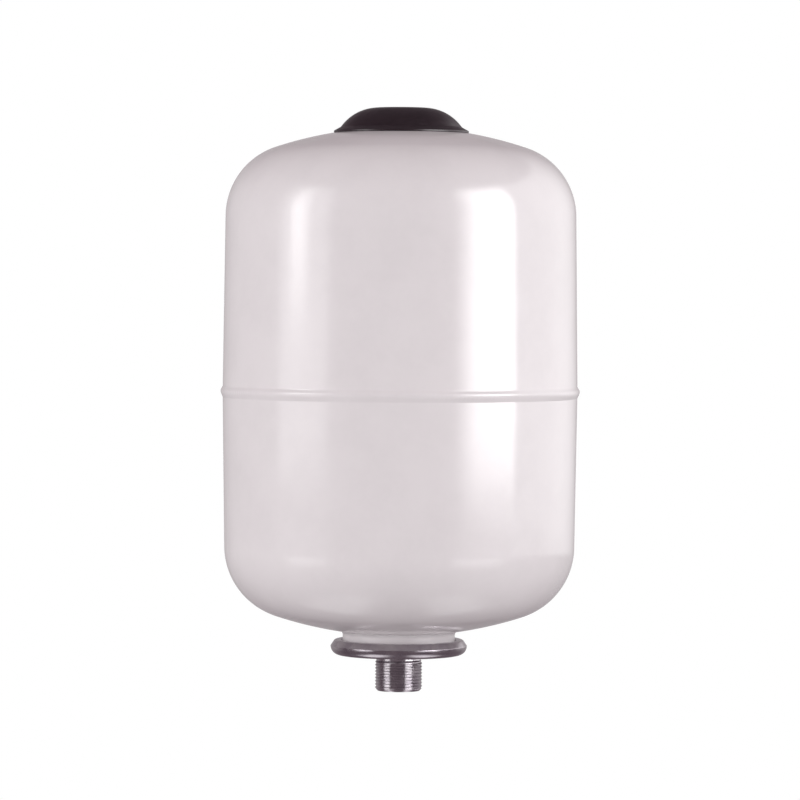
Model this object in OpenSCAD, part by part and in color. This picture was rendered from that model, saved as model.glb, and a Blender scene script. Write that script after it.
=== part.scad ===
// Expansion vessel of 8 litres, hung from its water connection.
// Two deep-drawn steel half shells are welded at the girth. A rubber bladder is clamped by its rim
// between the lower shell's neck and a crimped connection flange. A tank valve with a core, a pin and
// a dust cap stands in a well in the upper crown, under a push-on plastic cover.
// Millimetres. Z runs up the vessel's axis from the end face of the water connection.

/* [Vessel body] */
// Outside diameter at the girth
body_d = 200; // [196:0.5:204]
// Height of the girth weld above the end of the water connection
girth_z = 169.4; // [168:0.1:174]
// Thickness of the drawn steel sheet
sheet_t = 1.0; // [0.8:0.1:1.2]
// How far each half shell tapers in from the girth to the shoulder
wall_draft = 1.2; // [0.6:0.1:2]
// Straight wall of the upper half shell, from the girth to the shoulder
upper_wall_h = 98.2; // [94:0.1:100]
// Straight wall of the lower half shell
lower_wall_h = 87.7; // [84:0.1:88.5]
// Radius of the shoulder
knuckle_r = 41; // [38:0.5:44]
// Radius of the crown
crown_r = 225; // [210:5:240]

/* [Girth weld] */
// Height of the weld bead
bead_h = 6.2; // [5:0.1:7]
// How far the bead stands proud of the shells
bead_proud = 1.35; // [1:0.05:1.6]
// Height of the joggled lip that slips into the lower shell
joggle_h = 8; // [6:0.5:10]

/* [Neck and connection flange] */
// Outside radius of the neck
neck_r = 31.7; // [31:0.1:32]
// Outside radius of the crimped rim
flange_r = 38.5; // [38.3:0.1:38.8]
// Height of the crimped rim
flange_h = 8.6; // [8.5:0.1:8.8]
// Height of the flange's underside above the end of the water connection
flange_z = 20.3; // [20:0.1:20.6]
// Thickness of the flange's plate
plate_t = 2.0; // [1.9:0.1:2.1]

/* [Water connection] */
// Major diameter of the G 3/4 male thread
thread_d = 26.44; // [26.2:0.02:26.6]
// Length of the thread's full diameter
thread_l = 16; // [14:0.5:16.5]
// Chamfer on the end of the thread
thread_chamfer = 1.4; // [1:0.1:1.6]
// Diameter of the waterway
waterway_d = 20; // [18:0.5:21]

/* [Bladder] */
// Outside radius of the moulded bag
bladder_r = 72; // [66:1:80]
// Height of the bag's top above the end of the water connection
bladder_top_z = 216; // [190:1:230]
// Thickness of the rubber
bladder_t = 2.0; // [1.5:0.1:2.5]

/* [Air valve] */
// Depth of the valve's well under the crown's top
well_depth = 17; // [16.5:0.1:17.5]
// Radius of the well's wall
well_r = 20; // [19:0.5:21]
// Outside radius of the welded socket
socket_r = 10; // [9.8:0.1:10.2]
// Height of the socket above the well's floor
socket_h = 5.5; // [5.2:0.1:5.6]
// Width of the valve's hexagon across its flats
hex_af = 14; // [13:1:15]
// Major radius of the valve's cap thread
cap_thread_r = 3.875; // [3.8:0.005:3.95]
// Outside radius of the dust cap
dust_cap_r = 6.2; // [5.8:0.1:6.6]
// Number of grip flutes round the dust cap
flutes = 18; // [12:2:24]
// Turns in the valve's spring
spring_turns = 9; // [7:1:11]

/* [Valve cover] */
// Radius of the cover's rim on the crown
cover_r = 38; // [37.5:0.1:39]
// Height of the cover's top above the end of the water connection
cover_top_z = 328.9; // [328.7:0.1:330]
// Radius of the flat on top of the cover
cover_flat_r = 13.2; // [12:0.1:13.5]
// Radius of the cover's rounded side
cover_round_r = 25.5; // [25:0.1:26]
// Wall of the cover
cover_t = 2.2; // [1.8:0.1:2.3]
// Number of spring fingers in the collar that grips the socket
fingers = 6; // [4:1:8]

/* [Hidden] */
$fn = 96;

enamel = [0.93, 0.92, 0.92];
zinc = [0.62, 0.61, 0.63];
brass = [0.80, 0.66, 0.36];
steel = [0.55, 0.55, 0.57];
rubber = [0.10, 0.10, 0.10];
black = [0.14, 0.13, 0.14];
ptfe = [0.95, 0.95, 0.92];

arc_steps = 12;
cut = 1;                                    // how far a cutter passes a face
slip = 0.05;                                // radial clearance between parts of one assembly

// Half shells, measured from the girth outwards
girth_r = body_d / 2;
shoulder_r = girth_r - wall_draft;
knuckle_x = shoulder_r - knuckle_r;
crown_a = asin(knuckle_x / (crown_r - knuckle_r));
crown_drop = (crown_r - knuckle_r) * cos(crown_a);
girth_band = 4;                             // untapered band beside the weld
weld_gap = 2;                               // gap that the weld fills

// Valve well in the upper crown
crown_top_z = girth_z + upper_wall_h - crown_drop + crown_r;
well_z = crown_top_z - well_depth;
well_round = 3;

// Neck and clamped rim
neck_fillet = 2.5;
lip_r = 35.3;
lip_round = 0.6;
rim_foot_round = 5;
rim_band_top = 5.1;                         // top of the rim's upright band, above the flange's underside
rim_shoulder_round = 0.8;
rim_slope = 34;                             // tilt of the face between the band and the crest
rim_crest_round = 1.8;
lip_top_z = flange_z + 7.3;
lip_z = lip_top_z - sheet_t;
plate_top_z = flange_z + plate_t;
curl_edge_r = neck_r + 0.7;
curl_edge_round = 0.5;
curl_in_r = lip_r + 0.15;

// Water connection
thread_r = thread_d / 2;
undercut_r = thread_r - 0.6;
undercut_h = 1;
spigot_r = thread_r - 0.2;
spigot_z = thread_chamfer + thread_l + undercut_h;
weld_leg = 1.8;

// Bladder
bladder_neck_r = neck_r - sheet_t - 1.2;
bladder_mouth_r = bladder_neck_r - bladder_t;
bladder_shoulder = 34;
bladder_flare_z = 42;

// Valve parts, from the well's floor upwards
socket_hole_r = 7;
socket_reach = 2.3;
stem_shank_r = 5;
stem_shank_z = well_z - 6.5;
seal_t = 1;
hex_h = 3;
cap_thread_h = 6.6;
socket_z = well_z + socket_h;
hex_z = socket_z + seal_t;
hex_top_z = hex_z + hex_h;
stem_top_z = hex_top_z + cap_thread_h;

core_thread_r = 2.62;
core_bore_r = 2.15;
chamber_r = 2.9;
core_cone_z = stem_top_z - 6.4;
core_cone_h = 1;
chamber_z = stem_top_z - 16;
plug_z = stem_top_z - 4.85;
plug_h = 4.45;
plug_flats = 3.4;
plug_head_h = 1.8;
barrel_r = 1.7;
barrel_in_r = 1.15;
barrel_z = stem_top_z - 14.5;
ledge_r = 0.7;
ledge_h = 0.8;
pin_r = 0.45;
pin_collar_r = 1.0;
pin_collar_z = stem_top_z - 7.8;
pin_collar_h = 0.6;
pin_cup_r = 1.6;
pin_cup_h = 1;
cup_seal_h = 0.8;
spring_r = 0.8;
spring_wire_r = 0.1;
spring_sides = 6;
spring_steps = 12;

cap_gap = 0.4;
cap_z = hex_top_z + cap_gap;
cap_seal_t = 1;
cap_bore_r = cap_thread_r + 0.125;
cap_roof_t = 1.3;
cap_roof_z = stem_top_z + cap_seal_t;
cap_top_z = cap_roof_z + cap_roof_t;
flute_r = 0.5;

// Cover
cover_sweep = 55;                           // how far round its arc the cover's side runs
cover_sit = 0.08;                           // gap over the crown's facets
cover_edge_t = 1.1;
collar_in_r = socket_r + 0.15;
collar_t = 1.75;
collar_z = well_z + 2.4;
finger_slot = 2.5;
finger_z = well_z + 19;

// Points of an arc about c, from angle a to angle b
function arc(c, r, a, b, steps = arc_steps) =
    [for (i = [0:steps]) c + r * [cos(a + (b - a) * i / steps), sin(a + (b - a) * i / steps)]];

// Points in the opposite order
function reversed(points) = [for (i = [len(points) - 1:-1:0]) points[i]];

// Points moved from a distance beyond the girth to a height on the vessel
function upward(points) = [for (p = points) [p.x, girth_z + p.y]];
function downward(points) = [for (p = points) [p.x, girth_z - p.y]];

// Distance of the crown beyond the girth at a radius, for a surface inset from the outside one
function crown_h(wall_h, inset, r) = wall_h - crown_drop + sqrt(pow(crown_r - inset, 2) - r * r);

// One face of a drawn half shell: wall, shoulder and crown, in to radius end_r
function drawn_face(wall_h, inset, end_r) = concat(
    [[girth_r - inset, girth_band]],
    arc([knuckle_x, wall_h], knuckle_r - inset, 0, 90 - crown_a),
    arc([0, wall_h - crown_drop], crown_r - inset, 90 - crown_a, acos(end_r / (crown_r - inset)))
);

// The well's two rounds, for a face at a distance inside the outer one
function well_face(inset) = concat(
    arc([well_r + well_round, crown_h(upper_wall_h, 0, well_r + well_round) - well_round],
        well_round - inset, 90, 180),
    arc([well_r - well_round, well_z - girth_z + well_round], well_round + inset, 0, -90)
);

module revolved(points) {
    rotate_extrude(convexity = 8) polygon(points);
}

module ring(inner_r, outer_r, z, h) {
    translate([0, 0, z]) difference() {
        cylinder(r = outer_r, h = h);
        translate([0, 0, -cut]) cylinder(r = inner_r, h = h + 2 * cut);
    }
}

module upper_shell() {
    end_r = well_r + well_round;
    joggle_r = girth_r - sheet_t - 0.1;
    color(enamel) revolved(upward(concat(
        [[joggle_r - sheet_t, -joggle_h], [joggle_r, -joggle_h], [joggle_r, weld_gap / 2],
         [girth_r, weld_gap / 2]],
        drawn_face(upper_wall_h, 0, end_r),
        well_face(0),
        [[socket_hole_r + slip, well_z - girth_z], [socket_hole_r + slip, well_z - girth_z - sheet_t]],
        reversed(well_face(sheet_t)),
        reversed(drawn_face(upper_wall_h, sheet_t, end_r)),
        [[joggle_r - sheet_t, girth_band]]
    )));
}

module lower_shell() {
    end_r = neck_r + neck_fillet;
    fillet_c = [end_r, crown_h(lower_wall_h, 0, end_r) + neck_fillet];
    lip_h = girth_z - lip_top_z;
    lip_c = [neck_r + lip_round, lip_h - lip_round];
    color(enamel) revolved(downward(concat(
        [[girth_r - sheet_t, weld_gap / 2], [girth_r, weld_gap / 2]],
        drawn_face(lower_wall_h, 0, end_r),
        arc(fillet_c, neck_fillet, -90, -180),
        arc(lip_c, lip_round, 180, 90),
        [[lip_r, lip_h], [lip_r, lip_h + sheet_t]],
        arc(lip_c, lip_round + sheet_t, 90, 180),
        arc(fillet_c, neck_fillet + sheet_t, -180, -90),
        reversed(drawn_face(lower_wall_h, sheet_t, end_r))
    )));
}

module girth_weld() {
    half_chord = bead_h / 2;
    bead_r = (half_chord * half_chord + bead_proud * bead_proud) / (2 * bead_proud);
    bead_a = asin(half_chord / bead_r);
    bead_c = [girth_r + bead_proud - bead_r, girth_z];
    color(enamel) revolved(concat(
        [[girth_r - sheet_t, girth_z + weld_gap / 2], [girth_r - sheet_t, girth_z - weld_gap / 2],
         [girth_r, girth_z - weld_gap / 2]],
        arc(bead_c, bead_r, -bead_a, bead_a),
        [[girth_r, girth_z + weld_gap / 2]]
    ));
}

// The bag's outer face at inset 0 and its inner face at inset bladder_t
function bladder_face(inset) = concat(
    arc([bladder_r - bladder_shoulder, bladder_flare_z + bladder_shoulder], bladder_shoulder - inset,
        -90, 0),
    arc([bladder_r - bladder_shoulder, bladder_top_z - bladder_shoulder], bladder_shoulder - inset,
        0, 90),
    [[0, bladder_top_z - inset]]
);

module bladder() {
    neck_top_z = bladder_flare_z - 4;
    color(rubber) revolved(concat(
        [[bladder_mouth_r, plate_top_z], [lip_r, plate_top_z], [lip_r, lip_z], [bladder_neck_r, lip_z],
         [bladder_neck_r, neck_top_z]],
        bladder_face(0),
        reversed(bladder_face(bladder_t)),
        [[bladder_mouth_r, neck_top_z + bladder_t]]
    ));
}

module connection_flange() {
    foot_c = [flange_r - rim_foot_round, flange_z + rim_foot_round];
    shoulder_c = [flange_r - rim_shoulder_round, flange_z + rim_band_top];
    shoulder_end = shoulder_c + rim_shoulder_round * [cos(rim_slope), sin(rim_slope)];
    crest_z = flange_z + flange_h - rim_crest_round;
    crest_start_z = crest_z + rim_crest_round * sin(rim_slope);
    crest_start_r = shoulder_end.x - (crest_start_z - shoulder_end.y) * tan(rim_slope);
    crest_c = [crest_start_r - rim_crest_round * cos(rim_slope), crest_z];
    edge_c = [curl_edge_r + curl_edge_round, flange_z + flange_h - curl_edge_round];
    color(zinc) revolved(concat(
        [[spigot_r + slip, plate_top_z], [spigot_r + slip, flange_z]],
        arc(foot_c, rim_foot_round, -90, 0),
        arc(shoulder_c, rim_shoulder_round, 0, rim_slope, 6),
        arc(crest_c, rim_crest_round, rim_slope, 90, 8),
        arc(edge_c, curl_edge_round, 90, 180),
        [[curl_edge_r, lip_top_z + slip], [curl_in_r, lip_top_z + slip], [curl_in_r, plate_top_z]]
    ));
}

module water_connection() {
    color(zinc) difference() {
        union() {
            cylinder(r1 = thread_r - thread_chamfer, r2 = thread_r, h = thread_chamfer);
            translate([0, 0, thread_chamfer]) cylinder(r = thread_r, h = thread_l);
            cylinder(r = undercut_r, h = spigot_z + cut);
            translate([0, 0, spigot_z]) cylinder(r = spigot_r, h = plate_top_z - spigot_z);
        }
        translate([0, 0, -cut]) cylinder(d = waterway_d, h = plate_top_z + 2 * cut);
    }
}

module connection_weld() {
    color(zinc) revolved(concat(
        [[spigot_r, flange_z]],
        arc([spigot_r + weld_leg, flange_z - weld_leg], weld_leg, 180, 90, 6)
    ));
}

module valve_socket() {
    bore_r = stem_shank_r + slip;
    chamfer = 0.5;
    color(zinc) difference() {
        union() {
            translate([0, 0, well_z - sheet_t - socket_reach])
                cylinder(r = socket_hole_r, h = sheet_t + socket_reach + cut);
            translate([0, 0, well_z]) cylinder(r = socket_r, h = socket_h - chamfer);
            translate([0, 0, socket_z - chamfer])
                cylinder(r1 = socket_r, r2 = socket_r - chamfer, h = chamfer);
        }
        translate([0, 0, well_z - sheet_t - socket_reach - cut])
            cylinder(r = bore_r, h = sheet_t + socket_reach + socket_h + 2 * cut);
    }
}

module valve_socket_weld() {
    color(enamel) revolved(concat(
        [[socket_r, well_z]],
        arc([socket_r + weld_leg, well_z + weld_leg], weld_leg, -90, -180, 6)
    ));
}

module valve_stem_seal() {
    color(rubber) ring(stem_shank_r + slip, stem_shank_r + 3, socket_z, seal_t);
}

module valve_stem() {
    chamfer = 0.5;
    hex_corner_r = hex_af / 2 / cos(30);
    color(brass) difference() {
        union() {
            translate([0, 0, stem_shank_z]) cylinder(r = stem_shank_r, h = hex_z - stem_shank_z + cut);
            translate([0, 0, hex_z]) cylinder(r = hex_corner_r, h = hex_h, $fn = 6);
            translate([0, 0, hex_top_z]) cylinder(r = cap_thread_r, h = cap_thread_h - chamfer);
            translate([0, 0, stem_top_z - chamfer])
                cylinder(r1 = cap_thread_r, r2 = cap_thread_r - chamfer, h = chamfer);
        }
        translate([0, 0, core_cone_z]) cylinder(r = core_thread_r, h = stem_top_z - core_cone_z + cut);
        translate([0, 0, core_cone_z - core_cone_h])
            cylinder(r1 = core_bore_r, r2 = core_thread_r, h = core_cone_h);
        translate([0, 0, chamber_z - cut])
            cylinder(r = core_bore_r, h = core_cone_z - core_cone_h - chamber_z + 2 * cut);
        translate([0, 0, stem_shank_z - cut]) cylinder(r = chamber_r, h = chamber_z - stem_shank_z + cut);
    }
}

module valve_core_plug() {
    color(brass) difference() {
        translate([0, 0, plug_z]) cylinder(r = core_thread_r - slip, h = plug_h);
        translate([0, 0, plug_z - cut]) cylinder(r = pin_r + 0.3, h = plug_h + 2 * cut);
        for (side = [-1, 1])
            translate([side * (plug_flats / 2 + core_thread_r), 0, plug_z + plug_h])
                cube([2 * core_thread_r, 4 * core_thread_r, 2 * plug_head_h], center = true);
    }
}

module valve_core_seal() {
    lower_z = core_cone_z - core_cone_h + 0.1;
    upper_z = core_cone_z - 0.1;
    color(ptfe) revolved([
        [barrel_r + slip, lower_z], [core_bore_r, lower_z],
        [core_thread_r - 0.1, upper_z], [barrel_r + slip, upper_z]
    ]);
}

module valve_core_barrel() {
    color(brass) {
        difference() {
            translate([0, 0, barrel_z]) cylinder(r = barrel_r, h = plug_z - barrel_z);
            translate([0, 0, barrel_z + ledge_h]) cylinder(r = barrel_in_r, h = plug_z - barrel_z);
            translate([0, 0, barrel_z - cut]) cylinder(r = ledge_r, h = ledge_h + 2 * cut);
        }
    }
}

// Coil between the barrel's ledge and the pin's collar, swept ring by ring
module valve_spring() {
    low_z = barrel_z + ledge_h + spring_wire_r;
    high_z = pin_collar_z - spring_wire_r;
    rings = spring_turns * spring_steps;
    points = [for (i = [0:rings], k = [0:spring_sides - 1])
        let (a = 360 * i / spring_steps, b = 360 * k / spring_sides)
        [(spring_r + spring_wire_r * cos(b)) * cos(a), (spring_r + spring_wire_r * cos(b)) * sin(a),
         low_z + (high_z - low_z) * i / rings + spring_wire_r * sin(b)]];
    sides = [for (i = [0:rings - 1], k = [0:spring_sides - 1])
        let (next = (k + 1) % spring_sides)
        [i * spring_sides + k, (i + 1) * spring_sides + k, (i + 1) * spring_sides + next,
         i * spring_sides + next]];
    first = [for (k = [0:spring_sides - 1]) k];
    last = [for (k = [spring_sides - 1:-1:0]) rings * spring_sides + k];
    color(steel) polyhedron(points, concat(sides, [first, last]), convexity = 10);
}

module valve_pin() {
    pin_top_z = stem_top_z - 0.6;
    cup_z = barrel_z - cup_seal_h - pin_cup_h;
    color(steel) {
        union() {
            translate([0, 0, cup_z]) cylinder(r = pin_r, h = pin_top_z - cup_z);
            translate([0, 0, cup_z]) cylinder(r = pin_cup_r, h = pin_cup_h);
            translate([0, 0, pin_collar_z]) cylinder(r = pin_collar_r, h = pin_collar_h);
        }
    }
}

module valve_cup_seal() {
    color(rubber) ring(pin_r + slip, pin_cup_r + slip, barrel_z - cup_seal_h, cup_seal_h);
}

module dust_cap_seal() {
    color(rubber) translate([0, 0, stem_top_z]) cylinder(r = cap_bore_r - slip, h = cap_seal_t);
}

module dust_cap() {
    chamfer = 0.6;
    color(black) difference() {
        union() {
            translate([0, 0, cap_z]) cylinder(r = dust_cap_r, h = cap_top_z - cap_z - chamfer);
            translate([0, 0, cap_top_z - chamfer])
                cylinder(r1 = dust_cap_r, r2 = dust_cap_r - chamfer, h = chamfer);
        }
        translate([0, 0, cap_z - cut]) cylinder(r = cap_bore_r, h = cap_roof_z - cap_z + cut);
        for (i = [0:flutes - 1])
            rotate(360 * i / flutes) translate([dust_cap_r + flute_r / 2, 0, cap_z - cut])
                cylinder(r = flute_r, h = cap_top_z - cap_z + 2 * cut);
    }
}

module valve_cover() {
    round_c = [cover_flat_r, cover_top_z - cover_round_r];
    ceiling_z = cover_top_z - cover_t;
    sit_z = girth_z + cover_sit;
    edge_z = sit_z + crown_h(upper_wall_h, 0, cover_r);
    inner_sweep = cover_sweep - 3;
    inner_end_r = cover_flat_r + (cover_round_r - cover_t) * sin(inner_sweep);
    color(black) {
        difference() {
            union() {
                revolved(concat(
                    [[0, ceiling_z], [0, cover_top_z]],
                    arc(round_c, cover_round_r, 90, 90 - cover_sweep),
                    [[cover_r, edge_z + cover_edge_t], [cover_r, edge_z],
                     [inner_end_r, sit_z + crown_h(upper_wall_h, 0, inner_end_r)]],
                    arc(round_c, cover_round_r - cover_t, 90 - inner_sweep, 90)
                ));
                ring(collar_in_r, collar_in_r + collar_t, collar_z, ceiling_z - collar_z + cut);
            }
            for (i = [0:fingers - 1]) rotate(360 * i / fingers)
                translate([0, -finger_slot / 2, collar_z - cut])
                    cube([collar_in_r + collar_t + cut, finger_slot, finger_z - collar_z + cut]);
        }
    }
}

upper_shell();
lower_shell();
girth_weld();
bladder();
connection_flange();
water_connection();
connection_weld();
valve_socket();
valve_socket_weld();
valve_stem_seal();
valve_stem();
valve_core_plug();
valve_core_seal();
valve_core_barrel();
valve_spring();
valve_pin();
valve_cup_seal();
dust_cap_seal();
dust_cap();
valve_cover();
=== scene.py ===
"""Visual model of a small white expansion vessel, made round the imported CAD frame.

Outlines are lists of (radius, height) in millimetres, counter-clockwise, and lathe() turns them about Z.
Every mesh is in metres, in the frame's own axes, so nothing has to be placed afterwards.
"""

import math

import bmesh
import bpy
from mathutils import Matrix, Vector


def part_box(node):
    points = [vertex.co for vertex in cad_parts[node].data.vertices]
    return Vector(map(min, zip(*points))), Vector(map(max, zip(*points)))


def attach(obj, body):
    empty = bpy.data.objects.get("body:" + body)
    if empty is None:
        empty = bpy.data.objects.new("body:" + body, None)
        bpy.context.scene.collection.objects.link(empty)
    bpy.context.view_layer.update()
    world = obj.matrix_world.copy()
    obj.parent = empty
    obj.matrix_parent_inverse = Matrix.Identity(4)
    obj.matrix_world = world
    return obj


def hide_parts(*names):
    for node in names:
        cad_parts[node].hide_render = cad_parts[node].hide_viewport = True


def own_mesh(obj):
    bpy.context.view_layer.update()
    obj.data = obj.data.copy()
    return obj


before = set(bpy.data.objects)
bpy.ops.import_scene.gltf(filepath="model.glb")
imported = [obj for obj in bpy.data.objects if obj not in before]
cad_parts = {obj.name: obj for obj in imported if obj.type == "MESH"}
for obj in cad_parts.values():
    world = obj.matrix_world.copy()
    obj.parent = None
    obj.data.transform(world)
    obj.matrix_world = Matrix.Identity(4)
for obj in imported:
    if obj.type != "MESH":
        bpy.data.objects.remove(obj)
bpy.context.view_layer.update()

MM = 0.001
WELD_DISTANCE = 1e-6          # vertices closer than this, in metres, are one
SLIVER = 1e-7                 # edges shorter than this, in metres, are dissolved
SHARP_ANGLE = 38              # degrees between faces that shade as an edge
SUPPORT = 0.12                # flat strip beside each fillet, in millimetres
COARSE, MEDIUM, FINE = 72, 144, 288


# ---------------------------------------------------------------- sizes of the CAD nodes

def extent(node):
    """Lowest height, highest height and outer radius of a CAD node, in millimetres."""
    low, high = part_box(node)
    return low.z / MM, high.z / MM, high.x / MM


bead_low, bead_high, bead_r = extent("girth_weld")
girth_z = (bead_low + bead_high) / 2
girth_r = extent("upper_shell")[2]
flange_low, flange_high, flange_r = extent("connection_flange")
stub_low, plate_top, thread_r = extent("water_connection")
well_z = extent("valve_socket_weld")[0]
socket_bottom, socket_top, socket_r = extent("valve_socket")
stem_bottom, stem_top, _ = extent("valve_stem")
hex_z = extent("valve_stem_seal")[1]
plug_z, plug_top, plug_r = extent("valve_core_plug")
barrel_z, barrel_top, barrel_r = extent("valve_core_barrel")
core_seal_z, core_seal_top, core_seal_r = extent("valve_core_seal")
spring_z, spring_top, spring_r = extent("valve_spring")
pin_z, pin_top, cup_r = extent("valve_pin")
cup_seal_z, cup_seal_top, cup_seal_r = extent("valve_cup_seal")
cap_z, cap_top, cap_r = extent("dust_cap")
cap_seal_z, cap_seal_top, cap_seal_r = extent("dust_cap_seal")
collar_z, cover_top, cover_r = extent("valve_cover")
_, bladder_top, bladder_r = extent("bladder")

# Sheet metal, as the shells are drawn
SHEET_T = 1.0
WALL_DRAFT = 1.2
UPPER_WALL_H, LOWER_WALL_H = 98.2, 87.7
KNUCKLE_R, CROWN_R = 41.0, 225.0
GIRTH_BAND = 4.0
WELD_GAP = 2.0
JOGGLE_H, JOGGLE_CLEARANCE = 8.0, 0.1
WELL_R, WELL_ROUND = 20.0, 3.0
SOCKET_HOLE_R = 7.0
SLIP = 0.05

knuckle_x = girth_r - WALL_DRAFT - KNUCKLE_R
crown_angle = math.degrees(math.asin(knuckle_x / (CROWN_R - KNUCKLE_R)))
crown_drop = (CROWN_R - KNUCKLE_R) * math.cos(math.radians(crown_angle))

# Neck, lip and crimped rim
NECK_R, NECK_FILLET = 31.7, 2.5
LIP_R, LIP_ROUND = 35.3, 0.6
LIP_CLEARANCE, CURL_CLEARANCE = 0.15, 0.7
RIM_FOOT_ROUND, RIM_BAND_TOP, RIM_SHOULDER_ROUND = 5.0, 5.1, 0.3
RIM_SLOPE, RIM_CREST_ROUND, CURL_EDGE_ROUND = 34.0, 1.8, 0.5
lip_top = flange_low + 7.3


# ---------------------------------------------------------------- outlines

def arc(centre, radius, start, end, steps):
    """Points along an arc from one angle to another, in degrees, both ends included."""
    angles = [math.radians(start + (end - start) * i / steps) for i in range(steps + 1)]
    return [(centre[0] + radius * math.cos(a), centre[1] + radius * math.sin(a)) for a in angles]


def line(first, last, steps):
    """Points on a straight line, without its last point."""
    return [(first[0] + (last[0] - first[0]) * i / steps, first[1] + (last[1] - first[1]) * i / steps)
            for i in range(steps)]


def rounded(corners, steps=4):
    """A closed outline from corners (radius, height, fillet), with a short flat strip beside each fillet."""
    points = []
    for i, (x, z, fillet) in enumerate(corners):
        here = Vector((x, z))
        if fillet == 0:
            points.append((x, z))
            continue
        back = Vector(corners[i - 1][:2]) - here
        ahead = Vector(corners[(i + 1) % len(corners)][:2]) - here
        half = back.angle(ahead) / 2
        reach = fillet / math.tan(half)
        centre = here + (back.normalized() + ahead.normalized()).normalized() * fillet / math.sin(half)
        first = here + back.normalized() * reach
        last = here + ahead.normalized() * reach
        start = math.atan2(first.y - centre.y, first.x - centre.x)
        sweep = math.atan2(last.y - centre.y, last.x - centre.x) - start
        sweep = (sweep + math.pi) % (2 * math.pi) - math.pi
        if back.length > reach + 2 * SUPPORT:
            points.append(tuple(first + back.normalized() * SUPPORT))
        points += arc(centre, fillet, math.degrees(start), math.degrees(start + sweep), steps)
        if ahead.length > reach + 2 * SUPPORT:
            points.append(tuple(last + ahead.normalized() * SUPPORT))
    return points


# ---------------------------------------------------------------- meshes

def cleaned_mesh(name, verts, faces):
    """A mesh with its double vertices merged and its normals outward."""
    mesh = bpy.data.meshes.new(name)
    mesh.from_pydata(verts, [], faces)
    work = bmesh.new()
    work.from_mesh(mesh)
    bmesh.ops.remove_doubles(work, verts=work.verts, dist=WELD_DISTANCE)
    bmesh.ops.dissolve_degenerate(work, edges=work.edges, dist=SLIVER)
    bmesh.ops.recalc_face_normals(work, faces=work.faces)
    work.to_mesh(mesh)
    work.free()
    return mesh


def finish_piece(name, mesh, material, body, node):
    """A smooth-shaded object that rides on a body and stands for a CAD node."""
    mesh.shade_smooth()
    mesh.set_sharp_from_angle(angle=math.radians(SHARP_ANGLE))
    mesh.materials.clear()
    mesh.materials.append(material)
    piece = bpy.data.objects.new(name, mesh)
    bpy.context.scene.collection.objects.link(piece)
    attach(piece, body)
    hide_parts(node)
    return piece


def turned(outline, segments, warp=None, closed=True):
    """Vertices and faces of an outline turned about Z. warp(radius, height, angle) may move each point."""
    verts, faces, rings = [], [], []
    for radius, height in outline:
        count = 1 if radius < WELD_DISTANCE / MM else segments
        ring = []
        for i in range(count):
            angle = 2 * math.pi * i / segments
            r, z = warp(radius, height, angle) if warp and count > 1 else (radius, height)
            ring.append(len(verts))
            verts.append((r * MM * math.cos(angle), r * MM * math.sin(angle), z * MM))
        rings.append(ring)
    for j in range(len(rings) if closed else len(rings) - 1):
        lower, upper = rings[j], rings[(j + 1) % len(rings)]
        if len(lower) == 1 and len(upper) == 1:
            continue
        for i in range(segments):
            k = (i + 1) % segments
            corners = [lower[i % len(lower)], lower[k % len(lower)],
                       upper[k % len(upper)], upper[i % len(upper)]]
            faces.append(list(dict.fromkeys(corners)))
    return verts, faces


def lathe(name, outline, material, body, node, segments=MEDIUM, warp=None):
    mesh = cleaned_mesh(name, *turned(outline, segments, warp))
    return finish_piece(name, mesh, material, body, node)


def threaded(name, outline, thread, material, body, node, segments=MEDIUM, warp=None):
    """A turned piece whose edge from the outline's last point up to its first is a right-hand thread.

    thread is (pitch, rows in a pitch, radius_at(height, phase)). radius_at gives the same radius for every
    phase at both ends, where the helix meets the turned part.
    """
    verts, faces = turned(outline, segments, warp, closed=False)
    pitch, rows, radius_at = thread
    low, high = outline[-1][1], outline[0][1]
    count = rows * math.ceil((high - low) / pitch + 1)
    base = len(verts)
    for j in range(count + rows + 1):
        for i in range(segments):
            angle = 2 * math.pi * i / segments
            z = min(max(low + pitch * ((j - rows) / rows + i / segments), low), high)
            r = radius_at(z, (j % rows) / rows)
            verts.append((r * MM * math.cos(angle), r * MM * math.sin(angle), z * MM))

    def at(j, i):
        return base + (j * segments + i if i < segments else (j + rows) * segments)

    for j in range(count):
        for i in range(segments):
            faces.append([at(j, i), at(j, i + 1), at(j + 1, i + 1), at(j + 1, i)])
    return finish_piece(name, cleaned_mesh(name, verts, faces), material, body, node)


def vee(phase, flat):
    """A truncated V from 0 at the root to 1 at the crest; flat is the share of the pitch that is crest."""
    rise = 1 - abs(2 * phase - 1)
    return min(max((rise - flat) / (1 - 2 * flat), 0), 1)


def temporary(name, verts, faces):
    """An object that is only used in a boolean and removed afterwards."""
    obj = bpy.data.objects.new(name, cleaned_mesh(name, verts, faces))
    bpy.context.scene.collection.objects.link(obj)
    return obj


def combine(target, tool, operation):
    """Applies a boolean to target's mesh and removes the tool."""
    modifier = target.modifiers.new("combine", "BOOLEAN")
    modifier.operation = operation
    modifier.solver = "EXACT"
    modifier.object = tool
    graph = bpy.context.evaluated_depsgraph_get()
    mesh = bpy.data.meshes.new_from_object(target.evaluated_get(graph))
    target.modifiers.clear()
    target.data = mesh
    bpy.data.objects.remove(tool)


# ---------------------------------------------------------------- materials

NOISE_SPAN = (0.3, 0.7)       # a noise's values lie almost wholly between these


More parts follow.
